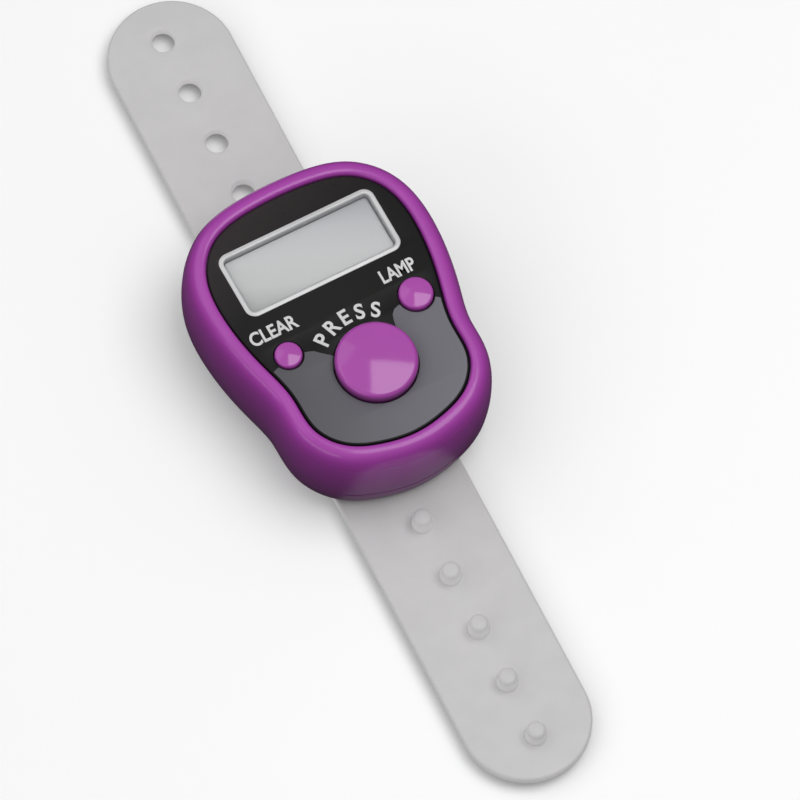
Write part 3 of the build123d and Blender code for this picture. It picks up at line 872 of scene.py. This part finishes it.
NODE_MATERIALS = {
    "lcd_glass": DISPLAY,
    "light_guide": DIFFUSER, "reflector_sheet": DIFFUSER, "zebra_connector": STRIPED,
    "backlight_led": DIFFUSER, "circuit_board": BOARD, "controller_chip": BLACK_EPOXY,
    "resistors": BLACK_EPOXY, "capacitors": CERAMIC, "battery_door": PURPLE_WALL,
    "door_screw": SCREW, "case_screws": SCREW, "board_screws": SCREW, "button_cells": CELL,
    "battery_bridge": STEEL, "negative_contact": STEEL, "positive_contact": STEEL,
    "count_dome": STEEL, "reset_dome": STEEL, "led_dome": STEEL,
}


def paint_nodes():
    for node, material in NODE_MATERIALS.items():
        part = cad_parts[node]
        if not part.material_slots:
            part.data.materials.append(material)
        for place in part.material_slots:
            place.material = material


# ---- stage: floor, light, camera -------------------------------------------------------------

def make_stage():
    mesh = bpy.data.meshes.new("floor")
    reach = 3.0
    level = -2e-5                  # just below the object, so that no faces share a plane
    corners = [(x * reach, y * reach, level) for x, y in ((-1, -1), (1, -1), (1, 1), (-1, 1))]
    mesh.from_pydata(corners, [], [(0, 1, 2, 3)])
    material, nodes, links, principled = shader(
        "pale_floor", (0.85, 0.85, 0.85), 0.6,
        Emission_Color=(1.0, 1.0, 1.0, 1.0), Emission_Strength=0.12)
    cloud = object_noise(nodes, links, 6.0, 3.0)
    vary_color(nodes, links, principled, cloud.outputs["Fac"], (0.84, 0.84, 0.84), (0.86, 0.86, 0.86))
    mesh.materials.append(material)
    floor = bpy.data.objects.new("floor", mesh)
    bpy.context.scene.collection.objects.link(floor)
    floor.visible_diffuse = False
    floor.visible_glossy = False


def soft_light(name, place, turn, width, length, watts):
    """A flat area light; turn is a rotation that starts from shining straight down."""
    data = bpy.data.lights.new(name, "AREA")
    data.shape = "RECTANGLE"
    data.size = width
    data.size_y = length
    data.energy = watts
    light = bpy.data.objects.new(name, data)
    light.matrix_world = Matrix.Translation(place) @ turn.to_4x4()
    bpy.context.scene.collection.objects.link(light)


def make_lights():
    """A softbox with a corner that mirrors in the middle of the big cap, two fills and a soft room."""
    side = 0.34
    turn = Matrix.Rotation(math.radians(-27.0), 3, "Z")
    corner = Vector((0.094, HOUSING_Y * MM + 0.170, 0.5))
    middle = corner + turn @ Vector((side / 2, -side / 2, 0.0))
    soft_light("soft_box", middle, turn, side, side, 1.15)
    subject = Vector((0.0, HOUSING_Y * MM, 0.01))
    for name, spot, width, length, watts in (
            ("back_light", Vector((-0.30, 0.45, 0.60)), 0.7, 0.7, 1.1),
            ("left_strip", Vector((-0.43, HOUSING_Y * MM - 0.13, 0.29)), 0.5, 0.16, 0.4)):
        aim = (subject - spot).to_track_quat("-Z", "Y").to_matrix()
        soft_light(name, spot, aim, width, length, watts)
    world = bpy.data.worlds.new("soft_world")
    world.use_nodes = True
    nodes = world.node_tree.nodes
    links = world.node_tree.links
    coordinates = nodes.new("ShaderNodeTexCoord")
    split = nodes.new("ShaderNodeSeparateXYZ")
    ramp = nodes.new("ShaderNodeValToRGB")
    ramp.color_ramp.elements[0].position = 0.0
    ramp.color_ramp.elements[0].color = (0.07, 0.07, 0.07, 1.0)
    ramp.color_ramp.elements[1].position = 1.0
    ramp.color_ramp.elements[1].color = (0.76, 0.76, 0.76, 1.0)
    middle_stop = ramp.color_ramp.elements.new(0.35)
    middle_stop.color = (0.17, 0.17, 0.17, 1.0)
    links.new(coordinates.outputs["Generated"], split.inputs["Vector"])
    links.new(split.outputs["Z"], ramp.inputs["Fac"])
    links.new(ramp.outputs["Color"], nodes["Background"].inputs["Color"])
    bpy.context.scene.world = world
    bpy.context.scene.view_settings.view_transform = "Standard"


def make_camera():
    """A long lens at the photograph's viewing angle."""
    azimuth = math.radians(-34.70)
    elevation = math.radians(66.38)
    roll = math.radians(6.54)
    distance = 0.8865
    target = Vector((0.34, HOUSING_Y - 12.29, PANEL_TOP - 0.02)) * MM
    back = Vector((math.sin(azimuth) * math.cos(elevation), -math.cos(azimuth) * math.cos(elevation),
                   math.sin(elevation)))
    right = Vector((math.cos(azimuth), math.sin(azimuth), 0.0))
    up = back.cross(right)
    turned_right = right * math.cos(roll) + up * math.sin(roll)
    turned_up = up * math.cos(roll) - right * math.sin(roll)
    data = bpy.data.cameras.new("camera")
    data.sensor_width = 36.0
    data.lens = 353.4
    data.clip_start = 0.05
    data.clip_end = 20.0
    camera = bpy.data.objects.new("camera", data)
    axes = Matrix((turned_right, turned_up, back)).transposed().to_4x4()
    camera.matrix_world = Matrix.Translation(target + back * distance) @ axes
    bpy.context.scene.collection.objects.link(camera)
    bpy.context.scene.camera = camera


make_camera()
make_stage()
make_lights()
make_shell()
make_panel()
make_labels()
make_buttons()
make_rear_cover()
make_strap()
paint_nodes()
